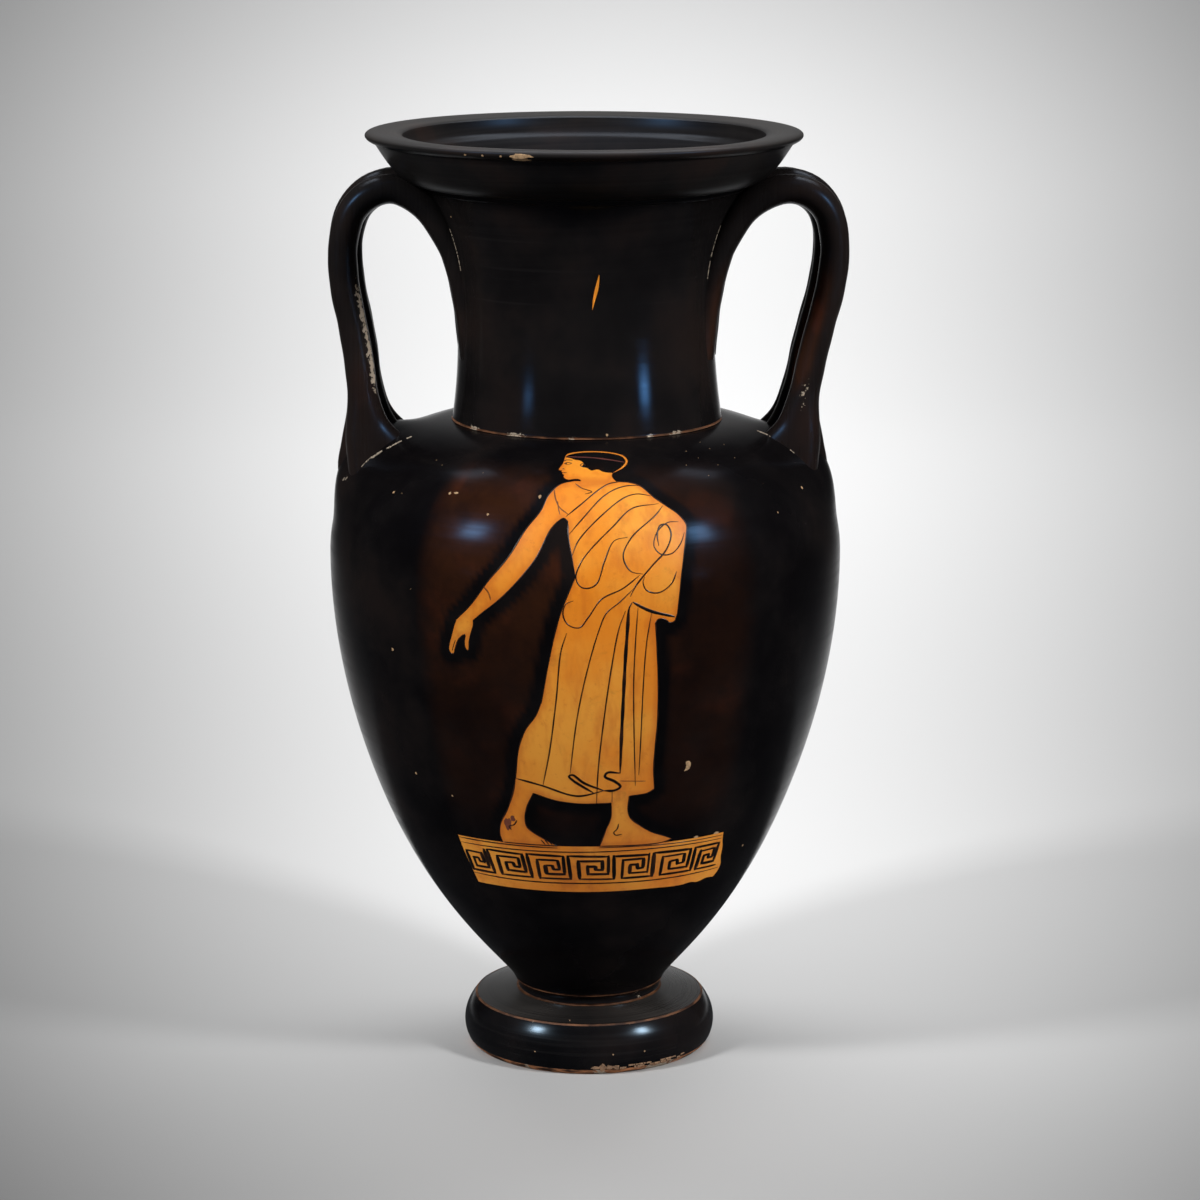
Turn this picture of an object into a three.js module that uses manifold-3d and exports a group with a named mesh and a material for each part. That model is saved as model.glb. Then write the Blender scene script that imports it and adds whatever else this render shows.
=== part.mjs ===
// A small black-gloss neck-amphora in fired clay, built the way a potter joins it.
// Foot, fillet ring, body, neck and mouth are thrown separately. Each handle is three
// rolls of clay laid side by side, which run from under the mouth down to the shoulder.
//
// Millimetres, +Z up. The origin is the middle of the face that the foot stands on.
// The handles lie to the left (-X) and to the right (+X), and the front faces -Y.

import * as THREE from 'three';
import { mergeVertices } from 'three/addons/utils/BufferGeometryUtils.js';
import Module from 'manifold-3d';

const wasm = await Module();
wasm.setup();

// ---------- Driving dimensions ----------

const HEIGHT = 330;            // resting face to the crest of the lip
const BODY_TOP = 229;          // joint of body and neck
const NECK_TOP = 309.6;        // joint of neck and mouth
const BODY_BOTTOM = 24.4;      // joint of fillet ring and body
const FOOT_TOP = 19.8;         // top face of the foot at the stem

const BODY_RADIUS = 90.5;      // widest part of the belly
const BODY_WIDEST = 182;       // height of the widest part
const NECK_BASE_RADIUS = 47.5;
const NECK_TOP_RADIUS = 55.2;
const LIP_RADIUS = 76.2;
const LIP_INNER_RADIUS = 62.8;
const BODY_BOTTOM_RADIUS = 27;
const FOOT_RADIUS = 45;        // bulge of the foot
const FOOT_EDGE_RADIUS = 40.9; // edge between the foot's top face and its bulge
const REST_OUTER_RADIUS = 41.8;
const REST_INNER_RADIUS = 33.5;
const STEM_RADIUS = 22;        // stem of the foot, inside the fillet ring

const BODY_WALL = 5;
const NECK_WALL = 6;
const GAP = 0.3;               // clearance between pieces that touch

const COIL_PITCH = 12;         // spacing of the three rolls of a handle, along Y
const COIL_SPAN = 11.3;        // width of an outer roll, along Y
const COIL_DEPTH = 10.2;       // thickness of an outer roll, across the handle
const RIB_SPAN = 12;           // width of the middle roll
const RIB_DEPTH = 12;          // the middle roll stands a little proud
const FLARE_TOP = 250;         // below this height a roll spreads inwards onto the shoulder
const FLARE_HEIGHT = 35;
const FLARE_REACH = 26;

// The handles are set by eye, so each one leans and turns a little in its own way.
// lean: how far the top moves out for every LEAN_RUN of height above LEAN_PIVOT_Z.
// turn: how much further in each roll lies than the one in front of it.
const LEFT_HANDLE = { side: -1, lean: -1, turn: 0.15 };
const RIGHT_HANDLE = { side: 1, lean: 1, turn: 0.6 };
const LEAN_PIVOT_Z = 282;
const LEAN_RUN = 32;
const LEAN_LIMIT = 1.5;

const LATHE_SEGMENTS = 48;
const COIL_SIDES = 10;
const COIL_STEPS = 30;

// ---------- Materials ----------

const GLOSS_BLACK = 0x14110f;
const CLAY_ORANGE = 0xb9692f;

const glossMaterial = () => new THREE.MeshStandardMaterial({
  color: GLOSS_BLACK,
  roughness: 0.28,
  metalness: 0,
});

const clayMaterial = () => new THREE.MeshStandardMaterial({
  color: CLAY_ORANGE,
  roughness: 0.7,
  metalness: 0,
});

// ---------- Profile helpers ----------

const point = (radius, z) => new THREE.Vector2(radius, z);

// A round stretch of a profile, as points along one cubic curve.
function curve(start, startPull, endPull, end, steps) {
  return new THREE.CubicBezierCurve(start, startPull, endPull, end).getPoints(steps);
}

// The same profile moved sideways by a distance: positive to its left, as it is drawn.
function shifted(profile, distance) {
  return profile.map((here, i) => {
    const before = profile[Math.max(i - 1, 0)];
    const after = profile[Math.min(i + 1, profile.length - 1)];
    const along = after.clone().sub(before).normalize();
    return point(here.x - along.y * distance, here.y + along.x * distance);
  });
}

// Turns a closed profile (or one that starts and ends on the axis) about Z.
function turned(profile) {
  return new THREE.LatheGeometry(profile, LATHE_SEGMENTS).rotateX(Math.PI / 2);
}

function named(name, geometry, material) {
  const mesh = new THREE.Mesh(geometry, material);
  mesh.name = name;
  return mesh;
}

// ---------- Outer profiles, from bottom to top ----------

function bodyOutline() {
  const lowerBelly = curve(
    point(BODY_BOTTOM_RADIUS, BODY_BOTTOM), point(28.6, 30),
    point(52, 47), point(70, 90), 8);
  const upperBelly = curve(
    point(70, 90), point(88.4, 134),
    point(BODY_RADIUS, 168.5), point(BODY_RADIUS, BODY_WIDEST), 6);
  const shoulder = curve(
    point(BODY_RADIUS, BODY_WIDEST), point(BODY_RADIUS, 209.5),
    point(70.5, 227), point(NECK_BASE_RADIUS, BODY_TOP), 8);
  return [...lowerBelly, ...upperBelly.slice(1), ...shoulder.slice(1)];
}

function neckOutline() {
  return curve(
    point(NECK_BASE_RADIUS, BODY_TOP + GAP), point(44.2, 250),
    point(42, 291), point(NECK_TOP_RADIUS, NECK_TOP), 10);
}

function mouthOutline() {
  const collar = [
    point(55.8, NECK_TOP + GAP),
    point(56, 311.4),
  ];
  const echinus = curve(point(57, 311.6), point(63.5, 311.8), point(67.2, 317), point(73, 326.2), 6);
  const lip = curve(point(73, 326.2), point(77.6, 327.6), point(76.8, HEIGHT), point(73, HEIGHT), 5);
  return [...collar, ...echinus, ...lip.slice(1)];
}

// ---------- Thrown pieces ----------

// Disc foot: a flat resting ring, a hollow underside and a stem that the body stands on.
function footGeometry() {
  const hollow = curve(point(0, 13), point(16, 13), point(28, 10), point(REST_INNER_RADIUS, 0), 6);
  const bulge = curve(
    point(REST_OUTER_RADIUS, 0), point(FOOT_RADIUS + 0.2, 1.4),
    point(FOOT_RADIUS + 2.2, 11.5), point(FOOT_EDGE_RADIUS, 18), 6);
  const stem = [
    point(STEM_RADIUS, FOOT_TOP),
    point(STEM_RADIUS, BODY_BOTTOM - GAP),
    point(0, BODY_BOTTOM - GAP),
  ];
  return turned([...hollow, ...bulge, ...stem]);
}

// Low ring of clay around the stem, with a hollowed outer face.
function filletGeometry() {
  const inner = STEM_RADIUS + GAP;
  const bottom = FOOT_TOP + GAP;
  const top = BODY_BOTTOM - GAP;
  const outerFace = curve(point(26, bottom), point(25.4, bottom + 1.2), point(25.6, top - 1.2), point(26.6, top), 3);
  return turned([point(inner, bottom), ...outerFace, point(inner, top), point(inner, bottom)]);
}

function bodyGeometry() {
  const outside = bodyOutline();
  const floorZ = BODY_BOTTOM + 6.5;
  const inside = shifted(outside, BODY_WALL)
    .filter((p) => p.y > floorZ + 4 && p.x < BODY_RADIUS && p.y < BODY_TOP - BODY_WALL + 0.5)
    .reverse();
  const innerRim = NECK_BASE_RADIUS - NECK_WALL;
  return turned([
    point(0, BODY_BOTTOM),
    ...outside,
    point(innerRim, BODY_TOP),
    ...inside,
    point(20, floorZ),
    point(0, floorZ),
  ]);
}

function neckGeometry() {
  const outside = neckOutline();
  const inside = shifted(outside, NECK_WALL).reverse();
  inside[0].y = NECK_TOP;
  inside[inside.length - 1].set(NECK_BASE_RADIUS - NECK_WALL, BODY_TOP + GAP);
  return turned([...outside, ...inside, outside[0]]);
}

// Echinus mouth with a rounded lip, a top face that dips inwards and a ledge inside.
function mouthGeometry() {
  const outside = mouthOutline();
  const inside = [
    point(LIP_INNER_RADIUS, HEIGHT - 1.3),
    point(61.6, HEIGHT - 3.4),
    point(58.6, HEIGHT - 7),
    point(57, HEIGHT - 8),
    point(52, HEIGHT - 15),
    point(50.3, NECK_TOP + GAP),
  ];
  return turned([...outside, ...inside, outside[0]]);
}

// ---------- Handles ----------

function toManifold(geometry) {
  const bare = geometry.clone();
  bare.deleteAttribute('normal');
  bare.deleteAttribute('uv');
  const merged = mergeVertices(bare, 1e-4);
  return new wasm.Manifold(new wasm.Mesh({
    numProp: 3,
    vertProperties: new Float32Array(merged.attributes.position.array),
    triVerts: new Uint32Array(merged.index.array),
  }));
}

function fromManifold(solid) {
  const mesh = solid.getMesh();
  const geometry = new THREE.BufferGeometry();
  geometry.setAttribute('position', new THREE.BufferAttribute(mesh.vertProperties, 3));
  geometry.setIndex(new THREE.BufferAttribute(mesh.triVerts, 1));
  geometry.computeVertexNormals();
  return geometry;
}

// Everything that the handles are pressed against, grown by the gap.
function wallsForHandles() {
  const belly = shifted(bodyOutline(), -GAP);
  const neck = shifted(neckOutline(), -GAP);
  const mouth = shifted(mouthOutline(), -GAP);
  return toManifold(turned([
    point(0, belly[0].y),
    ...belly,
    ...neck.slice(1),
    ...mouth,
    point(0, HEIGHT + GAP),
  ]));
}

// The middle line of a handle, from inside the neck wall, over the top, to the shoulder.
const HANDLE_LINE = [
  [40, 259], [42.2, 275], [46.6, 290.5], [54.6, 303.6], [62.6, 309.2], [69.6, 310.8],
  [77.2, 308.5], [82.8, 302.4], [85.5, 291], [84.6, 277], [81.8, 264], [78.6, 249],
  [77, 237], [77.6, 227], [79.6, 219], [82.4, 210], [83.6, 203],
];

// The line that one roll follows: the middle line, leaned, turned and moved along Y.
function coilLine({ side, lean, turn }, y) {
  const points = HANDLE_LINE.map(([x, z]) => {
    const leaned = lean * Math.max((z - LEAN_PIVOT_Z) / LEAN_RUN, -LEAN_LIMIT);
    const turned = -turn * y / COIL_PITCH;
    const onOuterRun = THREE.MathUtils.smoothstep(x, 56, 72);
    return new THREE.Vector3(side * (x + (leaned + turned) * onOuterRun), y, z);
  });
  return new THREE.CatmullRomCurve3(points, false, 'centripetal');
}

// Spreads the inner half of a roll inwards, more and more towards the shoulder.
function flareRoot(geometry, line, side, depth) {
  const outerRun = line.getPoints(90).filter((p) => p.z < FLARE_TOP);
  const position = geometry.attributes.position;
  for (let i = 0; i < position.count; i += 1) {
    const x = position.getX(i);
    const z = position.getZ(i);
    if (z > FLARE_TOP) continue;
    const centre = outerRun.reduce((a, b) => (Math.abs(a.z - z) < Math.abs(b.z - z) ? a : b));
    const inward = Math.max(side * (centre.x - x) / (depth / 2), 0);
    const push = FLARE_REACH * ((FLARE_TOP - z) / FLARE_HEIGHT) ** 3;
    position.setX(i, x - side * push * inward);
  }
}

// One roll of clay: an oval swept along its line, and cut where it meets the walls.
function coilGeometry(placing, y, span, depth, walls) {
  const line = coilLine(placing, y);
  const oval = new THREE.EllipseCurve(0, 0, span / 2, depth / 2).getPoints(COIL_SIDES);
  const sweep = new THREE.ExtrudeGeometry(new THREE.Shape(oval.slice(0, -1)), {
    steps: COIL_STEPS,
    extrudePath: line,
  });
  flareRoot(sweep, line, placing.side, depth);
  return fromManifold(toManifold(sweep).subtract(walls));
}

function handle(name, placing, walls) {
  const coils = [
    { place: 'front', y: -COIL_PITCH, span: COIL_SPAN, depth: COIL_DEPTH },
    { place: 'middle', y: 0, span: RIB_SPAN, depth: RIB_DEPTH },
    { place: 'back', y: COIL_PITCH, span: COIL_SPAN, depth: COIL_DEPTH },
  ];
  const group = new THREE.Group();
  for (const { place, y, span, depth } of coils) {
    const geometry = coilGeometry(placing, y, span, depth, walls);
    group.add(named(`${name}_${place}_coil`, geometry, glossMaterial()));
  }
  return group;
}

// ---------- The amphora ----------

const amphora = new THREE.Group();
amphora.add(named('foot', footGeometry(), glossMaterial()));
amphora.add(named('foot_fillet', filletGeometry(), clayMaterial()));
amphora.add(named('body', bodyGeometry(), glossMaterial()));
amphora.add(named('neck', neckGeometry(), glossMaterial()));
amphora.add(named('mouth', mouthGeometry(), glossMaterial()));

const walls = wallsForHandles();
amphora.add(handle('left_handle', LEFT_HANDLE, walls));
amphora.add(handle('right_handle', RIGHT_HANDLE, walls));

export default amphora;
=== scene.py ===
"""The looks of a small black-gloss neck-amphora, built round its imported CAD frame.

Lengths are in millimetres until a mesh is made. +Z is up, the handles lie along X and the
painted front faces -Y. Every turned piece follows a profile of (radius, height) points.
The picture on the belly is drawn in surface coordinates: `across` runs round the belly as
millimetres at its widest ring, and `up` runs along the wall, from the ground line's height.
"""

import math

import bpy
import numpy as np
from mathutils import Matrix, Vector
from mathutils.geometry import delaunay_2d_cdt


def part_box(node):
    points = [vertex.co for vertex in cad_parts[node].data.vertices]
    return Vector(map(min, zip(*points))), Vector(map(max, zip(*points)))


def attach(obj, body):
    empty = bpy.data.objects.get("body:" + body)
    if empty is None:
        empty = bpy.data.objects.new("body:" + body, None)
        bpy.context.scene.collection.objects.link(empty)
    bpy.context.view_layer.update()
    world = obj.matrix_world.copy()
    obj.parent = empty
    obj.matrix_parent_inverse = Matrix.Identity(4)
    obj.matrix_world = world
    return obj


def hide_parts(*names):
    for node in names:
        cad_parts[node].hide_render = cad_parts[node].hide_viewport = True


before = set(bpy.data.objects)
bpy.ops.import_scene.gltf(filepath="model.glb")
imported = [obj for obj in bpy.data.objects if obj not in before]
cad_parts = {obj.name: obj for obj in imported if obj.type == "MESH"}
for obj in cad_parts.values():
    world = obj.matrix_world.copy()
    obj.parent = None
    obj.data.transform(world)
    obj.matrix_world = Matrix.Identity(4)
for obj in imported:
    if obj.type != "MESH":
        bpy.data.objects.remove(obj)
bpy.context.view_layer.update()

MM = 0.001
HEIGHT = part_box("mouth")[1].z / MM
NECK_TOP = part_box("neck")[1].z / MM
BODY_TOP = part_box("body")[1].z / MM
BODY_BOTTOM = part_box("body")[0].z / MM
BELLY_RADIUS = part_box("body")[1].x / MM - 0.1   # room for the raised lines
FOOT_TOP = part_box("foot_fillet")[0].z / MM

TURNED_SIDES = 288
CURVE_STEPS = 60

rng = np.random.default_rng(7)


# ---------- Curves ----------

def cubic(p0, p1, p2, p3, steps):
    """Points along one cubic Bezier curve, both ends included."""
    t = np.linspace(0, 1, steps + 1)[:, None]
    p0, p1, p2, p3 = (np.array(p, float) for p in (p0, p1, p2, p3))
    return (1 - t) ** 3 * p0 + 3 * (1 - t) ** 2 * t * p1 + 3 * (1 - t) * t * t * p2 + t ** 3 * p3


def smooth_line(points, step=0.6):
    """A centripetal Catmull-Rom curve through a few points, sampled about every `step`."""
    p = np.array(points, float)
    if len(p) == 2:
        count = max(int(np.linalg.norm(p[1] - p[0]) / step), 1)
        return p[0] + (p[1] - p[0]) * np.linspace(0, 1, count + 1)[:, None]
    p = np.vstack([2 * p[0] - p[1], p, 2 * p[-1] - p[-2]])
    result = []
    for a, b, c, d in zip(p[:-3], p[1:-2], p[2:-1], p[3:]):
        t0 = 0.0
        t1 = t0 + np.linalg.norm(b - a) ** 0.5
        t2 = t1 + np.linalg.norm(c - b) ** 0.5
        t3 = t2 + np.linalg.norm(d - c) ** 0.5
        count = max(int(np.linalg.norm(c - b) / step), 1)
        t = np.linspace(t1, t2, count, endpoint=False)[:, None]
        ab = (t1 - t) / (t1 - t0) * a + (t - t0) / (t1 - t0) * b
        bc = (t2 - t) / (t2 - t1) * b + (t - t1) / (t2 - t1) * c
        cd = (t3 - t) / (t3 - t2) * c + (t - t2) / (t3 - t2) * d
        ac = (t2 - t) / (t2 - t0) * ab + (t - t0) / (t2 - t0) * bc
        bd = (t3 - t) / (t3 - t1) * bc + (t - t1) / (t3 - t1) * cd
        result.append((t2 - t) / (t2 - t1) * ac + (t - t1) / (t2 - t1) * bd)
    return np.vstack(result + [p[-2:-1]])


def chained(strokes):
    """Gives every stroke of a closed outline its first point, where the one before it ends."""
    return [before[-1:] + stroke for before, stroke in zip(strokes[-1:] + strokes[:-1], strokes)]


def joined(strokes, step=0.6):
    """Joins strokes end to end, smooth inside each stroke only. The last point is left out."""
    return np.vstack([smooth_line(stroke, step)[:-1] for stroke in strokes])


def smoothstep(value, low, high):
    t = np.clip((np.asarray(value, float) - low) / (high - low), 0, 1)
    return t * t * (3 - 2 * t)


def lean(z):
    """How far the hand-made pot strays along X from a true axis at height z."""
    foot_off_centre = 0.6 - 1.28 * smoothstep(z, 10, 100)
    neck_off_centre = 0.65 * smoothstep(z, 195, 229) - 0.9 * smoothstep(z, 229, 300)
    return foot_off_centre + neck_off_centre


# ---------- Meshes ----------

def add_piece(name, verts, faces, materials, face_materials=None, sharp_angle=40):
    """Makes one visible piece from millimetre points, smooth except at sharp corners."""
    mesh = bpy.data.meshes.new(name)
    mesh.from_pydata((np.asarray(verts) * MM).tolist(), [], faces)
    for material in materials:
        mesh.materials.append(material)
    if face_materials is not None:
        mesh.polygons.foreach_set("material_index", np.array(face_materials, np.int32))
    mesh.polygons.foreach_set("use_smooth", np.ones(len(mesh.polygons), bool))
    mesh.update()
    if sharp_angle:
        mesh.set_sharp_from_angle(angle=math.radians(sharp_angle))
    piece = bpy.data.objects.new(name, mesh)
    bpy.context.scene.collection.objects.link(piece)
    return piece


def settle(piece, nodes):
    """Fixes a piece to the frame and hides the CAD nodes it stands for."""
    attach(piece, "root")
    if nodes:
        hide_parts(*nodes)


def turned(sections, closed=True):
    """Turns a profile about Z. A section is (points, material index), each starting where
    the one before it ended. Returns points, faces and a material index for every face."""
    profile = [sections[0][0][0]]
    band_materials = []
    for points, index in sections:
        profile.extend(points[1:])
        band_materials.extend([index] * (len(points) - 1))
    if closed:
        profile.pop()
    verts = []
    rings = []
    for radius, z in np.array(profile, float):
        ring = turned_ring(radius, z)
        numbers = list(range(len(verts), len(verts) + len(ring)))
        rings.append(numbers * (TURNED_SIDES // len(ring)))
        verts.extend(ring)
    faces = []
    face_materials = []
    for band, index in enumerate(band_materials):
        made = band_faces(rings[band], rings[(band + 1) % len(rings)])
        faces.extend(made)
        face_materials.extend([index] * len(made))
    return verts, faces, face_materials


def turned_ring(radius, z):
    """The points of one ring, or the single point where the profile meets the axis."""
    if radius < 1e-6:
        return [(lean(z), 0, z)]
    turn = np.arange(TURNED_SIDES) * 2 * math.pi / TURNED_SIDES
    return list(zip(radius * np.cos(turn) + lean(z), radius * np.sin(turn), [z] * TURNED_SIDES))


def band_faces(low, high):
    """Faces between two rings of point numbers. A ring at the axis repeats one number."""
    faces = []
    for i in range(len(low)):
        j = (i + 1) % len(low)
        face = list(dict.fromkeys([low[i], low[j], high[j], high[i]]))
        if len(face) > 2:
            faces.append(face)
    return faces


def tube_faces(rings, corners):
    """Faces of an open tube, from how many rings it has and how many corners each has."""
    faces = []
    for first in range(0, (rings - 1) * corners, corners):
        low = range(first, first + corners)
        high = range(first + corners, first + 2 * corners)
        faces.extend(band_faces(low, high))
    return faces


def ribbon(path, normals, widths, height, sink=0.04):
    """A raised stroke along a path on a surface: flat underneath, rounded on top."""
    path = np.asarray(path, float)
    normals = np.asarray(normals, float)
    along = np.gradient(path, axis=0)
    side = np.cross(normals, along)
    side /= np.linalg.norm(side, axis=1)[:, None] + 1e-12
    widths = np.broadcast_to(widths, len(path))[:, None]
    section = [(-0.5, -sink), (-0.32, 0.75 * height), (0, height), (0.32, 0.75 * height), (0.5, -sink)]
    rows = [path + side * widths * s + normals * lift for s, lift in section]
    verts = np.stack(rows, axis=1).reshape(-1, 3)
    corners = len(section)
    faces = tube_faces(len(path), corners)
    faces.append(list(range(corners))[::-1])
    faces.append([(len(path) - 1) * corners + k for k in range(corners)])
    return verts, faces


def join_parts(parts):
    """Puts several (points, faces) lists into one."""
    verts = []
    faces = []
    for part_verts, part_faces in parts:
        first = len(verts)
        verts.extend(part_verts)
        faces.extend([[first + i for i in face] for face in part_faces])
    return verts, faces


# ---------- Materials ----------

class Shader:
    """A short way to build node materials."""

    def __init__(self, name):
        self.material = bpy.data.materials.new(name)
        self.material.use_nodes = True
        self.tree = self.material.node_tree
        self.principled = self.tree.nodes["Principled BSDF"]
        self.place = self.add("ShaderNodeTexCoord").outputs["Object"]

    def add(self, kind, inputs=(), **settings):
        """Adds a node. `inputs` holds (input, value or other node's output) pairs."""
        made = self.tree.nodes.new(kind)
        for key, value in settings.items():
            setattr(made, key, value)
        for socket, value in inputs:
            self.plug(value, made.inputs[socket])
        return made

    def plug(self, value, socket):
        if isinstance(value, bpy.types.NodeSocket):
            self.tree.links.new(value, socket)
        else:
            socket.default_value = value

    def stretched(self, scale):
        """The place on the piece, in units that differ along X, Y and Z."""
        return self.add("ShaderNodeMapping", [("Vector", self.place), ("Scale", scale)]).outputs["Vector"]

    def radius(self):
        """Distance from the pot's axis, for marks that run round flat faces."""
        made = self.add("ShaderNodeVectorMath", operation="LENGTH")
        self.plug(self.stretched((1, 1, 0)), made.inputs[0])
        return made.outputs["Value"]

    def noise(self, scale, detail=3.0, roughness=0.5, at=None, distortion=0.0):
        inputs = [("Vector", at or self.place), ("Scale", scale), ("Detail", detail),
                  ("Roughness", roughness), ("Distortion", distortion)]
        return self.add("ShaderNodeTexNoise", inputs).outputs["Fac"]

    def spots(self, scale, size, share):
        """Small ragged spots in a random share of the cells of a cell pattern."""
        cells = self.add("ShaderNodeTexVoronoi", [("Vector", self.place), ("Scale", scale)])
        chosen = self.math("LESS_THAN", self.split(cells.outputs["Color"], 0), share)
        own_size = self.times(self.split(cells.outputs["Color"], 1), size)
        ragged = self.times(self.noise(scale * 14, 2), own_size)
        edge = self.plus(self.times(own_size, 0.4), ragged)
        return self.times(chosen, self.math("LESS_THAN", cells.outputs["Distance"], edge))

    def split(self, colour, channel):
        return self.add("ShaderNodeSeparateColor", [("Color", colour)]).outputs[channel]

    def math(self, operation, a, b=0.0):
        return self.add("ShaderNodeMath", [(0, a), (1, b)], operation=operation).outputs[0]

    def times(self, a, b):
        return self.math("MULTIPLY", a, b)

    def plus(self, a, b):
        return self.math("ADD", a, b)

    def ramp(self, value, low, high, to_low=0.0, to_high=1.0):
        inputs = [("Value", value), ("From Min", low), ("From Max", high),
                  ("To Min", to_low), ("To Max", to_high)]
        return self.add("ShaderNodeMapRange", inputs, interpolation_type="SMOOTHSTEP").outputs["Result"]

    def mix(self, factor, a, b):
        first_colour, second_colour, mixed_colour = 6, 7, 2
        inputs = [("Factor", factor), (first_colour, a), (second_colour, b)]
        return self.add("ShaderNodeMix", inputs, data_type="RGBA").outputs[mixed_colour]

    def attribute(self, name):
        return self.add("ShaderNodeAttribute", attribute_name=name).outputs["Fac"]

    def bump(self, height, strength, distance):
        inputs = [("Height", height), ("Strength", strength), ("Distance", distance)]
        made = self.add("ShaderNodeBump", inputs)
        self.plug(made.outputs["Normal"], self.principled.inputs["Normal"])

    def finish(self, colour, roughness, ior=1.45, tint=(1, 1, 1, 1)):
        """Colours the surface. The last two are plain numbers, which the export needs."""
        self.plug(colour, self.principled.inputs["Base Color"])
        self.plug(roughness, self.principled.inputs["Roughness"])
        self.principled.inputs["IOR"].default_value = ior
        self.principled.inputs["Specular Tint"].default_value = tint
        return self.material


def rgba(r, g, b):
    return (r, g, b, 1.0)


BLACK = rgba(0.0035, 0.003, 0.0034)
SOFT_BLACK = rgba(0.010, 0.0085, 0.0085)
THIN_BROWN = rgba(0.034, 0.012, 0.0055)
RED_BROWN = rgba(0.090, 0.022, 0.009)
PALE_CLAY = rgba(0.62, 0.40, 0.22)
CLAY = rgba(0.89, 0.268, 0.014)
CLAY_DEEP = rgba(0.62, 0.135, 0.010)
CLAY_PALE = rgba(0.95, 0.38, 0.038)
# grey for dust and wear, and also for the painted sheen on the tops of lip and foot
DUST_AND_SHEEN_GREY = rgba(0.13, 0.12, 0.11)
CRUST = rgba(0.46, 0.38, 0.29)


def crusted(s, base):
    """Ragged crumbs of lime and bare clay, as thick as the vertex attribute `crust` says."""
    crumbs = s.ramp(s.plus(s.noise(620, 3, 0.7), s.attribute("crust")), 1.0, 1.06)
    return s.mix(crumbs, base, CRUST)


# How much the fine marks are squeezed along X, Y and Z: wheel marks lie level, brush marks stand.
WHEEL_GRAIN = (9, 9, 420)
BRUSH_GRAIN = (260, 260, 14)
BLUE_SHEEN = rgba(0.20, 0.50, 1.0)


def gloss_material(name, roughness, brown, ior=1.2, dust=0.0, streaks=1.0, speck_share=0.14,
                   grain=WHEEL_GRAIN, sheen=BLUE_SHEEN):
    """Fired black gloss: near black, brown where it is thin, with fine wheel marks and specks.
    The vertex attribute `thin` adds brown, and a second attribute turns the surface grey and matt: real
    wear, and on the tops of lip and foot a painted grey sheen."""
    s = Shader(name)
    clouds = s.noise(22, 4, 0.6)
    wheel = s.noise(1.0, 2.5, 0.6, at=s.stretched(grain))
    fine_wheel = s.noise(3.0, 1.0, 0.5, at=s.stretched(grain))
    mottling = s.noise(70, 5, 0.65)
    base = s.mix(s.ramp(clouds, 0.35, 0.7), BLACK, SOFT_BLACK)
    patches = s.times(s.ramp(clouds, 0.48, 0.72), brown)
    thin = s.times(s.attribute("thin"), s.ramp(mottling, 0.25, 0.68, 0.45, 1.0))
    base = s.mix(s.math("MAXIMUM", patches, thin), base, THIN_BROWN)
    reddest = s.times(thin, s.ramp(s.noise(45, 3, 0.5), 0.52, 0.7))
    base = s.mix(s.times(reddest, 0.45), base, RED_BROWN)
    rings = s.noise(900, 2, 0.6, at=s.radius())
    # grey from real wear, and from the painted sheen where the attribute is set high on the lip and foot
    # tops
    wear_and_sheen = s.times(s.attribute("wear_and_sheen"), s.ramp(rings, 0.3, 0.7, 0.55, 1.0))
    wear_and_sheen = s.math("MAXIMUM", wear_and_sheen, s.times(s.ramp(wheel, 0.5, 0.75), dust))
    base = s.mix(wear_and_sheen, base, DUST_AND_SHEEN_GREY)
    specks = s.spots(150, 0.10, speck_share)
    base = crusted(s, s.mix(s.times(specks, 0.75), base, PALE_CLAY))
    rough = s.plus(roughness, s.ramp(wheel, 0.3, 0.75, -0.02, 0.05))
    rough = s.plus(rough, s.times(wear_and_sheen, 0.3))
    rough = s.plus(rough, s.times(specks, 0.4))
    heights = s.plus(s.times(wheel, 0.8), s.times(fine_wheel, 0.35))
    heights = s.plus(heights, s.times(mottling, 0.5))
    s.bump(heights, 0.05 * streaks, 0.0004)
    return s.finish(base, rough, ior, sheen)


def clay_material(name, deep):
    """Bare fired clay under a thin wash: warm orange, mottled, redder near painted edges."""
    s = Shader(name)
    clouds = s.noise(30, 4, 0.6)
    grain = s.noise(420, 4, 0.7)
    wash = s.noise(1.0, 3, 0.6, at=s.stretched((160, 160, 45)))
    base = s.mix(s.ramp(clouds, 0.35, 0.68), CLAY, CLAY_PALE)
    base = s.mix(s.times(s.ramp(wash, 0.45, 0.75), deep), base, CLAY_DEEP)
    base = s.mix(s.times(s.attribute("rim_wash"), 0.6), base, CLAY_DEEP)
    base = s.mix(s.times(s.ramp(grain, 0.55, 0.75), 0.4), base, CLAY_DEEP)
    stains = s.ramp(s.noise(95, 5, 0.7, distortion=0.6), 0.56, 0.74)
    base = s.mix(s.times(stains, 0.18), base, RED_BROWN)
    pits = s.spots(200, 0.12, 0.09)
    base = crusted(s, s.mix(s.times(pits, 0.55), base, THIN_BROWN))
    s.bump(s.plus(grain, s.times(wash, 0.5)), 0.10, 0.0004)
    return s.finish(base, s.ramp(clouds, 0.3, 0.7, 0.42, 0.55), 1.4)


def groove_material(name, bare):
    """A line or strip left bare, half hidden under smeared gloss and dirt."""
    s = Shader(name)
    smear = s.noise(1.0, 4, 0.65, at=s.stretched((120, 120, 400)))
    base = s.mix(s.ramp(smear, 0.35, 0.65), THIN_BROWN, bare)
    return s.finish(crusted(s, base), 0.6, 1.4)


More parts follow.
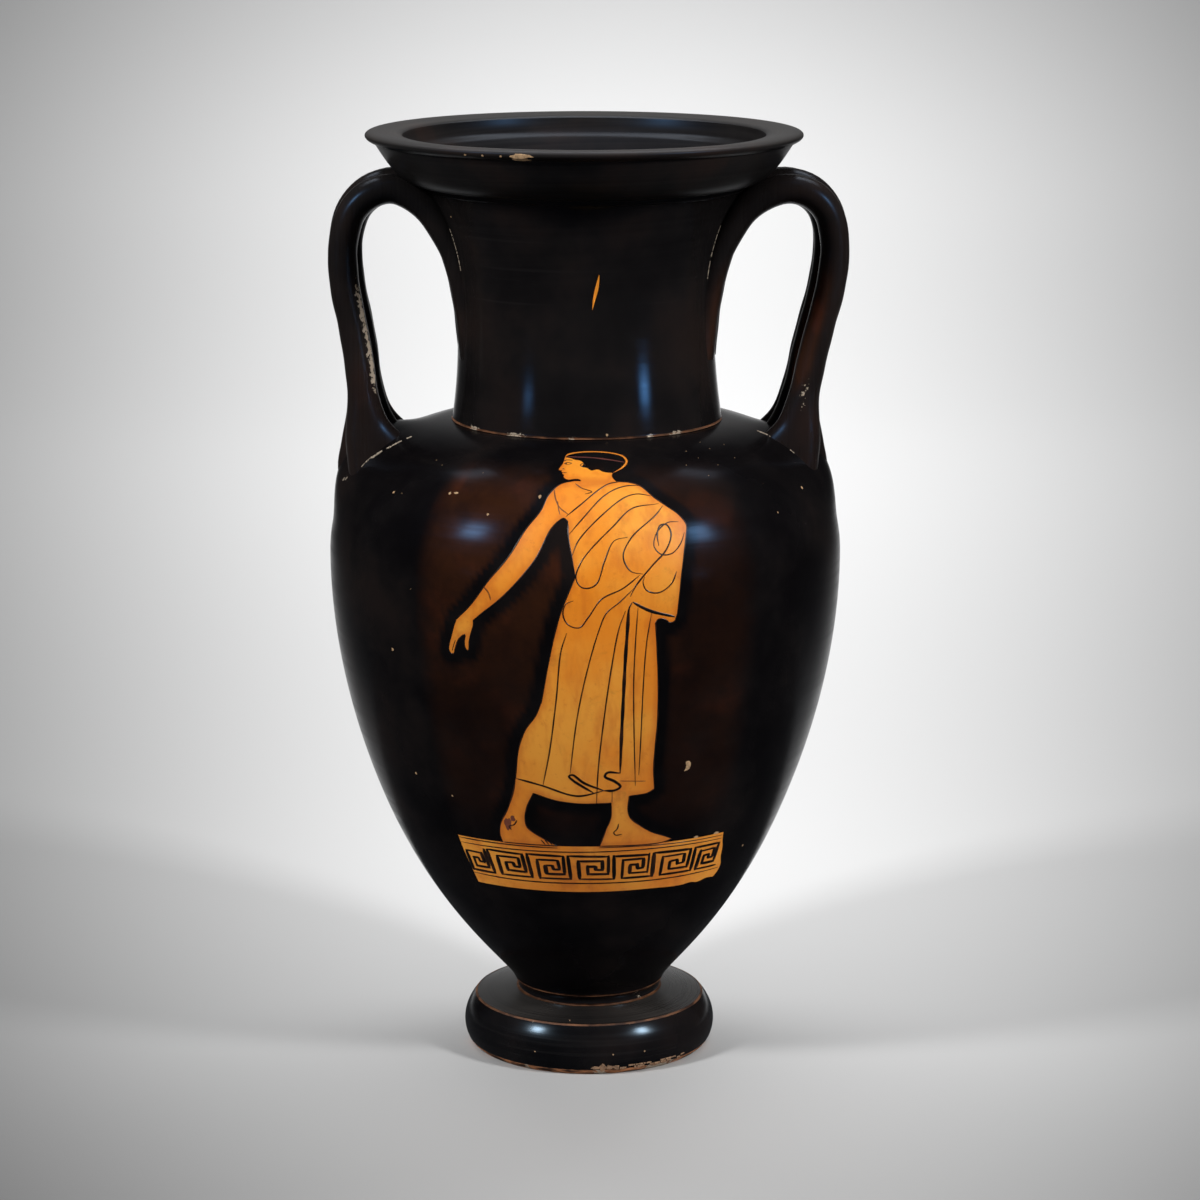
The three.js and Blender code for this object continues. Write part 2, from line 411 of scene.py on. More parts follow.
def stroke_material(name, dark, light, roughness):
    """A brushed line: dense where the brush was full and lighter where it ran dry."""
    s = Shader(name)
    load = s.noise(130, 3, 0.6)
    s.bump(s.noise(900, 2), 0.15, 0.0002)
    return s.finish(s.mix(s.ramp(load, 0.45, 0.75), dark, light), roughness, 1.42)


def chip_material(name, colour):
    """A fresh break or crust: pale, dry and crumbly."""
    s = Shader(name)
    grain = s.noise(700, 5, 0.7)
    base = s.mix(s.ramp(grain, 0.4, 0.75), colour, rgba(*(0.35 * c for c in colour[:3])))
    s.bump(grain, 0.8, 0.0006)
    return s.finish(base, 0.9, 1.4)


body_gloss = gloss_material("body_black_gloss", roughness=0.20, brown=0.10, ior=1.135)
neck_gloss = gloss_material("neck_black_gloss", roughness=0.12, brown=0.15, dust=0.05, streaks=0.15,
                            speck_share=0.10, sheen=rgba(0.12, 0.42, 1.0))
mouth_gloss = gloss_material("mouth_black_gloss", roughness=0.33, brown=0.3, dust=0.10, ior=1.18)
foot_gloss = gloss_material("foot_black_gloss", roughness=0.19, brown=0.1, dust=0.05, ior=1.33,
                            sheen=rgba(0.55, 0.78, 1.0))
handle_gloss = gloss_material("handle_black_gloss", roughness=0.27, brown=0.22, streaks=0.4,
                              ior=1.17, grain=BRUSH_GRAIN)
clay = clay_material("bare_clay", deep=0.5)
groove = groove_material("bare_groove", rgba(0.20, 0.085, 0.038))
floor_strip = groove_material("bare_floor_strip", rgba(0.62, 0.25, 0.10))
line_black = stroke_material("relief_line_black", BLACK, rgba(0.05, 0.016, 0.007), 0.3)
line_brown = stroke_material("thinned_line_brown", rgba(0.20, 0.055, 0.012), rgba(0.34, 0.10, 0.018), 0.4)
chipped = chip_material("chipped_clay", PALE_CLAY)
chipped_foot = chip_material("chipped_foot_clay", rgba(0.42, 0.25, 0.15))
crust = chip_material("pale_crust", CRUST)
stained = stroke_material("red_stain", rgba(0.20, 0.05, 0.025), rgba(0.30, 0.09, 0.04), 0.7)
added_red = stroke_material("added_red", rgba(0.10, 0.022, 0.018), rgba(0.16, 0.04, 0.03), 0.6)


# ---------- Belly surface ----------

def belly_outline():
    """Outer profile of the body, from the foot to the base of the neck."""
    widest = (BELLY_RADIUS, 182.0)
    waist = (70.7, 90)
    lower = cubic((27, BODY_BOTTOM), (28.6, 30), (52.4, 47), waist, CURVE_STEPS)
    upper = cubic(waist, (89.4, 134), (BELLY_RADIUS, 168.5), widest, CURVE_STEPS)
    shoulder = cubic(widest, (BELLY_RADIUS, 209.5), (70.5, 227), (47.5, BODY_TOP), CURVE_STEPS)
    return np.vstack([lower, upper[1:], shoulder[1:]])


GROUND_LINE = 86.0      # length of wall between the foot and the ground line

OUTLINE = belly_outline()
WALL_LENGTH = np.concatenate([[0], np.cumsum(np.hypot(*np.diff(OUTLINE, axis=0).T))])
UP_LOW = -GROUND_LINE
UP_HIGH = WALL_LENGTH[-1] - GROUND_LINE


def belly_radius(up):
    return np.interp(np.asarray(up, float) + GROUND_LINE, WALL_LENGTH, OUTLINE[:, 0])


def belly_height(up):
    return np.interp(np.asarray(up, float) + GROUND_LINE, WALL_LENGTH, OUTLINE[:, 1])


def root_swell(across, up):
    """Height of the clay smeared over the shoulder where the handles join it."""
    quarter_turn = BELLY_RADIUS * math.pi / 2
    half_width = 20
    beside = (np.abs(across) - quarter_turn) / half_width
    z = belly_height(up)
    height = 6.5 - 0.9 * np.sign(across)    # larger on the left
    return height * np.exp(-beside ** 2) * smoothstep(z, 192, 217) * (1 - smoothstep(z, 220, 228.5))


def wall_points(across, up):
    """Points in space of the outer wall."""
    rise = belly_height(up + 0.5) - belly_height(up - 0.5)
    spread = belly_radius(up + 0.5) - belly_radius(up - 0.5)
    swell = root_swell(across, up) / np.maximum(np.hypot(rise, spread), 1e-6)
    radius = belly_radius(up) + rise * swell
    z = belly_height(up) - spread * swell
    turn = across / BELLY_RADIUS
    return np.stack([radius * np.sin(turn) + lean(z), -radius * np.cos(turn), z], axis=-1)


def belly_normals(across, up):
    sideways = wall_points(across + 0.5, up) - wall_points(across - 0.5, up)
    upward = wall_points(across, up + 0.5) - wall_points(across, up - 0.5)
    normals = np.cross(sideways, upward)
    return normals / np.linalg.norm(normals, axis=-1)[..., None]


def belly_points(across, up, lift=0.0):
    """Points in space for surface coordinates, raised off the wall by `lift`."""
    across = np.asarray(across, float)
    up = np.asarray(up, float)
    return wall_points(across, up) + belly_normals(across, up) * lift


# ---------- The painted figure ----------

# A standing youth in a cloak, seen from the front with the head turned to the left.
HEAD_PLACE = (1.0, 131.6)   # where the throat is on the belly
HEAD_TILT = 6.0             # degrees


def on_head(points):
    """Turns head drawings, in true millimetres from the throat, into surface coordinates."""
    p = np.array(points, float)
    c, s = math.cos(math.radians(HEAD_TILT)), math.sin(math.radians(HEAD_TILT))
    x = p[:, 0] * c - p[:, 1] * s
    y = p[:, 0] * s + p[:, 1] * c
    up = HEAD_PLACE[1] + y
    return np.stack([HEAD_PLACE[0] + x * BELLY_RADIUS / belly_radius(up), up], axis=-1)


FACE_PROFILE = [
    [(-6.6, 12.6), (-7.2, 10.4), (-7.7, 8.8)],
    [(-7.7, 8.8), (-8.7, 7.2), (-9.4, 6.0)],
    [(-9.4, 6.0), (-9.2, 5.5), (-8.2, 5.3)],
    [(-8.2, 5.3), (-8.6, 4.8), (-8.1, 4.2)],
    [(-8.1, 4.2), (-8.4, 3.7), (-7.8, 3.1)],
    [(-7.8, 3.1), (-8.1, 2.3), (-7.6, 1.2), (-6.4, 0.7)],
    [(-6.4, 0.7), (-4.0, 0.9), (-2.6, 0.2), (-3.4, -2.6)],
]
NAPE = [(9.2, -2.0), (8.0, 0.6), (8.4, 2.2)]
SKULL = [(8.4, 2.2), (12.4, 4.4), (14.2, 7.6), (13.0, 11.4), (9.0, 14.2), (3.6, 15.8),
         (-1.6, 15.9), (-5.6, 14.6), (-6.6, 12.6)]
HAIRLINE = [(-6.6, 12.6), (-5.0, 12.0), (-3.4, 10.8), (-1.8, 10.2), (-0.8, 8.4), (-1.4, 6.6),
            (0.2, 5.8), (1.4, 4.4), (3.6, 4.6), (5.4, 3.2), (8.4, 2.2)]
HAIR_TOP = [(8.4, 2.2), (11.8, 4.8), (13.5, 7.7), (12.4, 11.0), (8.7, 13.6), (3.5, 15.1),
            (-1.5, 15.2), (-5.2, 14.0), (-6.6, 12.6)]
FILLET_BAND = [(-6.2, 12.9), (-2.0, 12.4), (3.0, 11.4), (8.0, 9.6), (13.2, 7.2)]

# The outline of cloak, arm and feet, and the band below it: strokes with a corner between them.
# Each starts where the one before it ended, and the first where the last one ended.
CLOAK_AND_ARM = [
    [(-10.5, 129.5), (-14.5, 125), (-16.5, 119), (-21, 112), (-26, 102.5),
     (-33.5, 93), (-39, 85.5), (-44.8, 79.7)],
    [(-46, 77.2), (-47, 74), (-48, 71), (-48.4, 68.6), (-47.5, 67.2), (-46.4, 67.4)],
    [(-45.5, 70.2), (-44.4, 72.5), (-42.4, 74.4)],
    [(-41.8, 74.6), (-41.9, 73)],
    [(-42.1, 71), (-41.6, 69.4), (-40.8, 69), (-40.4, 70.2), (-40.3, 72),
     (-39.5, 75), (-38.5, 78), (-38.4, 80)],
    [(-35, 82.7), (-27.5, 89), (-20, 97.4), (-16, 103.2), (-12.2, 112), (-9.8, 115)],
    [(-7.8, 116.2), (-6.1, 115)],
    [(-5.7, 110), (-4.4, 103.5), (-3, 96)],
    [(-5.2, 91), (-7.6, 85), (-9.6, 78), (-12, 67.5), (-15.1, 52)],
    [(-17.4, 47.2), (-21.2, 42), (-24.2, 35), (-26.6, 23)],
    [(-28.5, 16.5), (-32, 9.5), (-36, 3.4), (-37.2, -1), (-36.6, -4.3)],
    [(-12, -4.3)],
    [(-16.4, -2.1), (-21.2, 0.6), (-24.3, 3.2), (-24.6, 6.8), (-23.2, 11.6), (-20, 17.4)],
    [(-14.8, 15.6), (-8.2, 14.2), (-1.7, 13.6), (5, 13.6), (10.6, 13.8)],
    [(10.5, 7.4), (9, 3.2), (7.6, -1), (6.3, -4.3)],
    [(34, -4.3), (38.8, -3.2)],
    [(35.4, -1.7), (29, 0.6), (23.2, 3.9), (19.1, 7), (17.5, 10.4), (17.6, 16.4)],
    [(21.4, 16.6), (24.8, 17.1), (27.3, 18.6)],
    [(26.2, 28), (26.2, 46), (25.7, 58.5), (24.9, 70), (24.1, 80.2)],
    [(25.2, 81.3), (27.6, 80.9), (29, 79.8), (30.8, 80.2), (31.7, 82.6)],
    [(32.5, 89), (33.4, 95.5), (35, 103), (36.6, 109), (37.3, 112.6), (35.3, 116.2),
     (31, 119.9), (26.8, 123.5), (22.4, 128.3), (18.3, 130), (13.9, 130.6)],
    [(-5, 131)],
]

GROUND_BAND = [
    [(66.4, -4.4)],
    [(67.6, -8), (69.2, -11), (70.6, -15.6), (73.0, -20), (72.6, -23), (71, -25)],
    [(66, -24.6), (60.5, -25.6), (56, -25), (50, -25.5), (33, -25.1), (-6, -25.2), (-57.6, -25.1)],
    [(-58, -20), (-59.1, -11), (-59.6, -4.4)],
]

# Raised lines drawn with full gloss: a width in millimetres, then points on the surface.
BLACK_LINES = [
    (0.55, [(14, 130.5), (9.6, 129.8), (5.3, 127.3), (-2, 121.1), (-6.9, 116.9)]),
    (0.50, [(22, 128.5), (17.3, 128.7), (12.2, 127.5), (6.5, 124.1), (-1.8, 115), (-5.5, 110.5)]),
    (0.50, [(25.7, 124.1), (20.3, 125.1), (15.3, 123.9), (6.4, 117.5), (-2.1, 108.4), (-4.2, 103.2)]),
    (0.50, [(28.1, 120.9), (17.5, 119.5), (10, 113.1), (2.2, 105.5), (-1.2, 100.9), (-2.8, 96),
            (-1, 92.9), (1.8, 92.6), (4.3, 94.2), (6.9, 101.5), (10.3, 108.2), (15.1, 109.4)]),
    (0.50, [(29.6, 120), (26.3, 116.8), (16.6, 109.3), (13.3, 103), (15.6, 98), (19.9, 96.8)]),
    (0.60, [(26, 106), (25.9, 110.1), (27.4, 113), (29.8, 113), (31, 110), (28.7, 104.7),
            (22.9, 99.2), (17.4, 93.1), (15.4, 89.5)]),
    (0.45, [(34.5, 113.8), (30.4, 113.8), (26, 110.8), (24.3, 106), (26.6, 103.1), (30.6, 103.2),
            (34, 106.2), (36.1, 110)]),
    (0.50, [(31.7, 97), (29.6, 93), (25, 90.3), (20.9, 91.4), (19.8, 94.2), (20.4, 95.9)]),
    (0.50, [(18.7, 96.5), (12.8, 92.2), (5.8, 88.8), (1.2, 82.4), (-1.6, 79.1), (-5.3, 80),
            (-7.1, 83.5), (-6.2, 87), (-3.6, 88.3)]),
    (0.45, [(17.4, 92.9), (11.6, 87.5), (7.4, 84), (4.9, 78.1), (1, 64.1), (-2.5, 47.2), (-5.4, 25.6)]),
    (0.50, [(-5.9, 77.2), (-7.9, 70.5), (-9.8, 53.2), (-12.7, 34.4), (-16, 20.6)]),
    (0.50, [(13.8, 84.7), (11.6, 78.5), (9, 63.4), (6.7, 44.6), (5.1, 26.9), (4.7, 13.7)]),
    (0.45, [(18, 85.7), (17.3, 74), (17, 58.9), (18.1, 37.3), (19.6, 20.4)]),
    (0.45, [(22.7, 83.7), (21.1, 73), (20.4, 58), (20.6, 24.6)]),
    (1.15, [(16.2, 87.6), (18.9, 85.9), (22.9, 84), (30.9, 81.7)]),
    (1.30, [(16, 87.4), (15.0, 85.4), (14.6, 80), (13.9, 67.3), (13.5, 52.9), (13.3, 37.9), (13.4, 25.7)]),
    (0.80, [(-26.6, 22.9), (-16.4, 20.6), (-6.1, 17.3), (-1.6, 16.8), (7.5, 18.9)]),
    (1.10, [(7.5, 18.9), (11.6, 18.9), (13.8, 20.3), (11.6, 22.4), (7.7, 24.5), (8.6, 26), (13.3, 25.7)]),
    (1.00, [(3.6, 18), (-0.3, 20.3), (-4.6, 23.2), (-5.9, 24.6), (-4.6, 25.2), (-0.2, 22), (7.5, 18.9)]),
    (0.50, [(-28.2, 5.7), (-29.8, 3.7), (-32.2, 2.8), (-31.4, 1.3)]),
    (0.50, [(14, 5.1), (13.6, 3), (12.2, 1.3), (13.1, 0.3), (15.8, 0.6)]),
    (0.35, [(-47.1, 68.3), (-46.4, 70.4), (-45.6, 72.2)]),
    (0.40, [(-4.3, 129.9), (-1.7, 128), (2.5, 126.4), (-0.2, 125.5)]),
    (0.45, [(-18.9, -1.9), (-17.2, -3.9)]),
    (0.45, [(-17.1, -2.0), (-15.5, -3.9)]),
    (0.45, [(-15.4, -2.6), (-14.1, -3.9)]),
    (0.55, [(-59.4, -5.2), (-39.4, -5.2), (-12, -5.2)]),
    (0.40, [(6.3, -4.9), (22, -5), (39, -5.3), (66.3, -5.6)]),
    (0.50, [(-59.3, -7.3), (-4.5, -6.9), (30, -6.6), (66.6, -7)]),
    (0.60, [(-57.9, -20.6), (-34.4, -21.1), (3.8, -21.1), (42.8, -21.1), (71.8, -20.8)]),
]

# Lines in thinned gloss, which fire to a soft brown.
BROWN_LINES = [
    (0.50, [(-12.8, 127.5), (-11.5, 123.3), (-9.8, 120.3), (-6, 117.5)]),
    (0.45, [(-10.7, 122.6), (-10.1, 120), (-9.2, 117.4)]),
    (0.60, [(-34.4, 91.6), (-32.8, 89.9), (-31.9, 87.4)]),
    (0.35, [(13.5, 22.6), (23.6, 22)]),
    (0.35, [(10.7, 18.6), (10.8, 14)]),
]

HEAD_LINES = [
    (0.42, [(-7.4, 10.3), (-6.2, 10.9), (-4.2, 10.6)]),
    (0.36, [(-7.3, 8.9), (-6.2, 9.4), (-4.6, 8.9)]),
    (0.30, [(-7.2, 8.7), (-5.9, 8.3), (-4.8, 8.7)]),
    (0.62, [(-6.6, 9.15), (-6.5, 8.5)]),
    (0.32, [(-8.2, 5.9), (-7.7, 6.3), (-7.6, 5.7)]),
    (0.36, [(-8.1, 4.25), (-6.9, 4.1)]),
    (0.38, [(-1.2, 6.4), (-1.9, 7.6), (-1.0, 8.4), (-0.3, 7.4), (-0.9, 6.3)]),
]

# One unit of the running key, as fractions of its width and height, down from the top.
KEY_UNIT = [(0.04, 0.98), (0, 0), (0.88, 0.02), (0.9, 0.78), (0.43, 0.78), (0.42, 0.43),
            (0.6, 0.42), (0.62, 0.58), (0.77, 0.57), (0.75, 0.2), (0.225, 0.2), (0.24, 0.98), (1.04, 0.98)]
KEY_STARTS = [-61.0, -45.6, -26.1, -7.6, 12.9, 31.5, 52.4, 68.0]
KEY_TOP = -8.7
KEY_BOTTOM = -19.3

FAR = 40.0      # distances to the picture's outlines are not measured beyond this


def inside(points, outline):
    """Which points lie inside a closed outline, by counting crossings."""
    x, y = points[:, 0][:, None], points[:, 1][:, None]
    x0, y0 = outline[:, 0][None, :], outline[:, 1][None, :]
    x1, y1 = np.roll(outline[:, 0], -1)[None, :], np.roll(outline[:, 1], -1)[None, :]
    crosses = (y0 > y) != (y1 > y)
    at = x0 + (y - y0) * (x1 - x0) / np.where(y1 == y0, 1e-9, y1 - y0)
    return (np.sum(crosses & (x < at), axis=1) % 2) == 1


def on_front(points, margin=0):
    """Which points lie on the part of the wall that carries the picture, which reaches 90 mm
    to each side and 40 mm below the ground line."""
    return (np.abs(points[:, 0]) < 90 + margin) & (points[:, 1] > -40 - margin)


def distance_to(points, outline):
    """Distance from each point to the nearest sample of an outline, capped at FAR."""
    best = np.full(len(points), FAR)
    for start in range(0, len(outline), 64):
        part = outline[start:start + 64]
        gap = np.linalg.norm(points[:, None, :] - part[None, :, :], axis=2).min(axis=1)
        best = np.minimum(best, gap)
    return best


def distance_to_picture(points, outlines, margin=0):
    """Distance from each point to the outlines, which is FAR away from the front."""
    distance = np.full(len(points), FAR)
    front = on_front(points, margin)
    distance[front] = distance_to(points[front], np.vstack(outlines))
    return distance


contour = chained(CLOAK_AND_ARM)
figure_outline = joined(contour)
head_outline = np.vstack([
    on_head(joined(FACE_PROFILE, 0.25)),
    on_head(smooth_line([FACE_PROFILE[-1][-1], NAPE[0]], 1.0))[:-1],
    on_head(smooth_line(NAPE, 0.3))[:-1],
    on_head(smooth_line(SKULL, 0.4))[:-1],
])
hair_outline = on_head(np.vstack([smooth_line(HAIRLINE, 0.3)[:-1], smooth_line(HAIR_TOP, 0.4)[:-1]]))
band_outline = joined(chained(GROUND_BAND))
reserved = [figure_outline, head_outline, band_outline]


def belly_mesh():
    """The outer wall as one sheet whose edges follow every painted outline."""
    columns, rows = 312, 128
    half_turn = math.pi * BELLY_RADIUS
    across = np.linspace(-half_turn, half_turn, columns + 1)
    up = np.linspace(UP_LOW, UP_HIGH, rows + 1)
    grid = np.stack(np.meshgrid(across, up, indexing="ij"), axis=-1).reshape(-1, 2)
    outlines = reserved + [hair_outline]
    clearance = 0.45
    grid = grid[distance_to_picture(grid, outlines) > clearance]
    points = [Vector(p) for p in grid]
    edges = []
    for outline in outlines:
        first = len(points)
        count = len(outline)
        points.extend(Vector(p) for p in outline)
        edges.extend((first + i, first + (i + 1) % count) for i in range(count))
    flat, _, triangles, _, _, _ = delaunay_2d_cdt(points, edges, [], 0, 1e-5)
    flat = np.array([tuple(p) for p in flat])
    triangles = np.array([t for t in triangles if len(t) == 3])
    return flat, triangles


def belly_piece():
    flat, triangles = belly_mesh()
    centres = flat[triangles].mean(axis=1)
    is_clay = np.zeros(len(centres), bool)
    front = on_front(centres)
    for outline in reserved:
        is_clay[front] |= inside(centres[front], outline)
    is_clay[front] &= ~inside(centres[front], hair_outline)
    verts = belly_points(*flat.T)
    normals = belly_normals(*flat.T)
    piece = add_piece("painted_belly", verts, triangles.tolist(), [body_gloss, clay],
                      is_clay.astype(int), sharp_angle=0)
    mesh = piece.data
    mesh.normals_split_custom_set_from_vertices(normals.tolist())
    paint_attributes(mesh, flat)
    return piece


def paint_attributes(mesh, flat):
    """`thin`: brown, thinly brushed ground round the figure, outside its dense black border.
    `rim_wash`: the redder wash just inside the figure's outline."""
    across, up = flat.T
    near = distance_to_picture(flat, [figure_outline, head_outline], margin=5)
    beyond_border = smoothstep(near, 3.4, 5.4)
    sides = smoothstep(across, -63, -52) * (1 - smoothstep(across, 54, 66))
    height = smoothstep(up, -6, 18) * (1 - smoothstep(up, 122, 142))
    strength = 0.35 + 0.65 * smoothstep(up, 40, 95) * (1 - smoothstep(across, -5, 60))
    write_attribute(mesh, "thin", beyond_border * sides * height * strength)
    write_attribute(mesh, "rim_wash", 1 - smoothstep(near, 0.2, 2.2))


def write_attribute(mesh, name, values):
    layer = mesh.attributes.new(name, "FLOAT", "POINT")
    layer.data.foreach_set("value", np.asarray(values, np.float32))


def body_inside():
    """Floor, inner wall and inner rim of the body."""
    wall = 5.0
    floor_z = BODY_BOTTOM + 6.5
    inner_rim = 41.5
    along = np.gradient(OUTLINE, axis=0)
    along /= np.linalg.norm(along, axis=1)[:, None]
    shell = OUTLINE + np.stack([-along[:, 1], along[:, 0]], axis=1) * wall
    keep = (shell[:, 1] > floor_z + 4) & (shell[:, 1] < BODY_TOP - wall + 0.5)
    shell = shell[keep & (shell[:, 0] > inner_rim * 0.5)][::-1]
    top = [(OUTLINE[-1, 0], BODY_TOP), (inner_rim, BODY_TOP)]
    bottom = [(20, floor_z), (0, floor_z)]
    sections = [(np.vstack([top, shell, bottom]), 0)]
    verts, faces, indices = turned(sections, closed=False)
    return add_piece("body_inside", verts, faces, [body_gloss], indices)


settle(belly_piece(), ["body"])
settle(body_inside(), [])


# ---------- Raised lines and key band ----------

def stroke_on_belly(points, width, height=0.10, step=0.5, taper=0.35):
    """A raised brush stroke that swells after its start and thins over the `taper` at its end."""
    line = smooth_line(points, step)
    if len(line) < 3:
        line = smooth_line([points[0], np.mean([points[0], points[-1]], axis=0), points[-1]], step)
    ends = np.linspace(0, 1, len(line))
    shape = smoothstep(ends, -0.06, 0.12) * (1 - smoothstep(ends, 1 - taper * 0.5, 1.1))
    wobble = 1 + 0.10 * np.sin(ends * len(line) * 0.31 + points[0][0])
    widths = np.maximum(width * shape * wobble, 0.12)
    return ribbon(belly_points(*line.T), belly_normals(*line.T), widths, height)


def key_strokes():
    """The running key, brushed one straight stroke at a time, uprights broader."""
    band_start, band_end = -58.8, 69.6
    parts = []
    for start, end in zip(KEY_STARTS[:-1], KEY_STARTS[1:]):
        corners = [(start + u * (end - start), KEY_TOP + v * (KEY_BOTTOM - KEY_TOP)) for u, v in KEY_UNIT]
        for a, b in zip(corners[:-1], corners[1:]):
            a, b = np.array(a), np.array(b)
            upright = abs(b[1] - a[1]) > abs(b[0] - a[0])
            width = 1.6 if upright else 1.15
            width *= 1 + 0.12 * rng.standard_normal()
            reach = (b - a) / np.linalg.norm(b - a) * 0.35
            line = np.array([a - reach, b + reach]) + rng.standard_normal((2, 2)) * 0.12
            if line[:, 0].min() < band_start or line[:, 0].max() > band_end:
                continue
            parts.append(straight_stroke(line, width))
    return parts


def straight_stroke(line, width):
    points = line[0] + (line[1] - line[0]) * np.linspace(0, 1, 7)[:, None]
    shape = np.array([0.55, 0.95, 1, 0.97, 1, 0.95, 0.55])
    return ribbon(belly_points(*points.T), belly_normals(*points.T), width * shape, 0.12)


def lines_piece(name, parts, material):
    verts, faces = join_parts(parts)
    piece = add_piece(name, verts, faces, [material], sharp_angle=60)
    settle(piece, [])


black_parts = [stroke_on_belly(points, width) for width, points in BLACK_LINES]
black_parts += [stroke_on_belly(on_head(points), width, 0.08, step=0.25) for width, points in HEAD_LINES]
lines_piece("relief_lines", black_parts, line_black)
# The figure's contour, without its last stroke, where the neck stands on the shoulders.
contour_strokes = [stroke_on_belly(points, 0.5, 0.09, taper=0.05) for points in contour[:-1]]
lines_piece("outline_lines", contour_strokes, line_black)
brown_strokes = [stroke_on_belly(points, width, 0.05) for width, points in BROWN_LINES]
lines_piece("thinned_lines", brown_strokes, line_brown)
lines_piece("key_band_strokes", key_strokes(), line_black)
lines_piece("head_fillet", [stroke_on_belly(on_head(FILLET_BAND), 0.7, 0.08)], added_red)


# ---------- Neck, mouth and foot ----------

def neck_outline():
    return cubic((47.5, BODY_TOP + 0.3), (44.2, 250), (42, 291), (55.2, NECK_TOP), CURVE_STEPS)


def neck_piece():
    """Concave neck with a bare-clay groove where it stands on the shoulder."""
    outside = neck_outline()
    bare_line = [(47.7, BODY_TOP + 0.2), (47.2, BODY_TOP + 0.4), (47.2, BODY_TOP + 0.7),
                 (47.5, BODY_TOP + 0.9)]
    outside = outside[outside[:, 1] > BODY_TOP + 1.0]
    inside_wall = (outside - [6, 0])[::-1]
    rim = [outside[-1], (49.4, NECK_TOP)]
    sections = [
        (np.array(bare_line), 1),
        (np.vstack([bare_line[-1:], outside]), 0),
        (np.array(rim), 0),
        (np.vstack([rim[-1:], inside_wall[1:], [(41.5, BODY_TOP + 0.3)], bare_line[:1]]), 0),
    ]
    verts, faces, indices = turned(sections)
    piece = add_piece("neck_wall", verts, faces, [neck_gloss, groove], indices)
    low = 1 - smoothstep(np.array(verts)[:, 2], BODY_TOP + 0.9, BODY_TOP + 2.4)
    crumbly = [(-55, 8), (-31, 13), (-6, 4), (27, 5), (40, 9)]
    write_attribute(piece.data, "crust", low * around(verts, crumbly, 0.62))
    write_attribute(piece.data, "wear_and_sheen", np.full(len(verts), 0.03))
    return piece


def around(verts, spots, strength):
    """How strongly wear shows round a turned piece. A spot is (degrees from the front, width)."""
    points = np.array(verts)
    degrees = np.degrees(np.arctan2(points[:, 0], -points[:, 1]))
    total = np.zeros(len(points))
    for middle, width in spots:
        total = np.maximum(total, np.exp(-((degrees - middle) / width * 1.6) ** 2))
    return strength * total


def radius_and_height(verts):
    points = np.array(verts)
    return np.hypot(points[:, 0], points[:, 1]), points[:, 2]


def mouth_piece():
    """Echinus mouth: a collar step, a convex bowl, a rounded lip and a ledge inside."""
    collar = [(55.3, NECK_TOP), (56, NECK_TOP + 0.4), (56, 311.2), (56.4, 311.5)]
    echinus = cubic((56.4, 311.5), (63.5, 311.8), (67.2, 317), (73, 326.2), 40)
    lip = cubic((73, 326.2), (77.6, 327.6), (76.8, HEIGHT), (73, HEIGHT), 24)
    top = [lip[-1], (70, HEIGHT - 0.15), (66, HEIGHT - 0.7), (63.9, HEIGHT - 1.0), (63.2, HEIGHT - 1.5)]
    inner = [(63.2, HEIGHT - 1.5), (62.8, HEIGHT - 2.8), (61.6, HEIGHT - 5.8), (60.4, HEIGHT - 6.9),
             (58.6, HEIGHT - 7.4), (57.8, HEIGHT - 8.2), (55.4, HEIGHT - 12), (52.6, HEIGHT - 16),
             (50.3, NECK_TOP + 0.3), (55.3, NECK_TOP)]
    sections = [(np.array(collar), 0), (echinus, 0), (lip, 0), (np.array(top), 0), (np.array(inner), 0)]
    verts, faces, indices = turned(sections)
    piece = add_piece("echinus_mouth", verts, faces, [mouth_gloss], indices, sharp_angle=35)
    radius, z = radius_and_height(verts)
    # painted sheen: the lip's flat top is greyed, partly for wear and partly to paint its glancing
    # reflection
    on_top = smoothstep(z, HEIGHT - 1.6, HEIGHT - 0.6) * smoothstep(radius, 61, 64)
    write_attribute(piece.data, "wear_and_sheen", 0.07 + 0.24 * on_top)
    outer_edge = smoothstep(radius, 75.5, 76.3) * (1 - smoothstep(z, HEIGHT - 1.2, HEIGHT - 0.8))
    chipped_spots = [(-40, 10), (-24, 4), (14, 12), (38, 4)]
    write_attribute(piece.data, "crust", outer_edge * around(verts, chipped_spots, 0.36))
    return piece


def foot_sections():
    """Profile of the foot, with material 0 for gloss, 1 for the floor strip and 2 for grooves."""
    hollow = cubic((0, 13), (16, 13), (28, 10), (33.5, 0), 24)
    widest = (45.2, 7.8)
    rim = (40.9, 18.0)
    lower_bulge = cubic((41.8, 0), (43.6, 0.9), (45.2, 4.0), widest, 20)
    bulge = np.vstack([lower_bulge, cubic(widest, (45.2, 11.2), (43.8, 14.7), rim, 20)[1:]])
    strip_top = 2.4
    strip = bulge[bulge[:, 1] <= strip_top]
    gloss = bulge[(bulge[:, 1] > strip_top) & (bulge[:, 1] < rim[1] - 0.01)]
    edge = [gloss[-1], rim, (40.6, 18.0)]
    top = cubic((40.6, 18.0), (35, 19.0), (29, 19.5), (26.3, FOOT_TOP - 0.1), 12)
    lower_groove = [top[-1], (25.2, FOOT_TOP - 0.1), (24.9, FOOT_TOP + 0.5)]
    stem = [(24.9, FOOT_TOP + 0.5), (22, FOOT_TOP + 0.5), (0, FOOT_TOP + 0.5)]
    return [
        (hollow, 0),
        (np.vstack([hollow[-1:], strip]), 1),
        (np.vstack([strip[-1:], gloss]), 0),
        (np.array(edge), 2),
        (top, 0),
        (np.array(lower_groove), 2),
        (np.array(stem), 0),
    ]


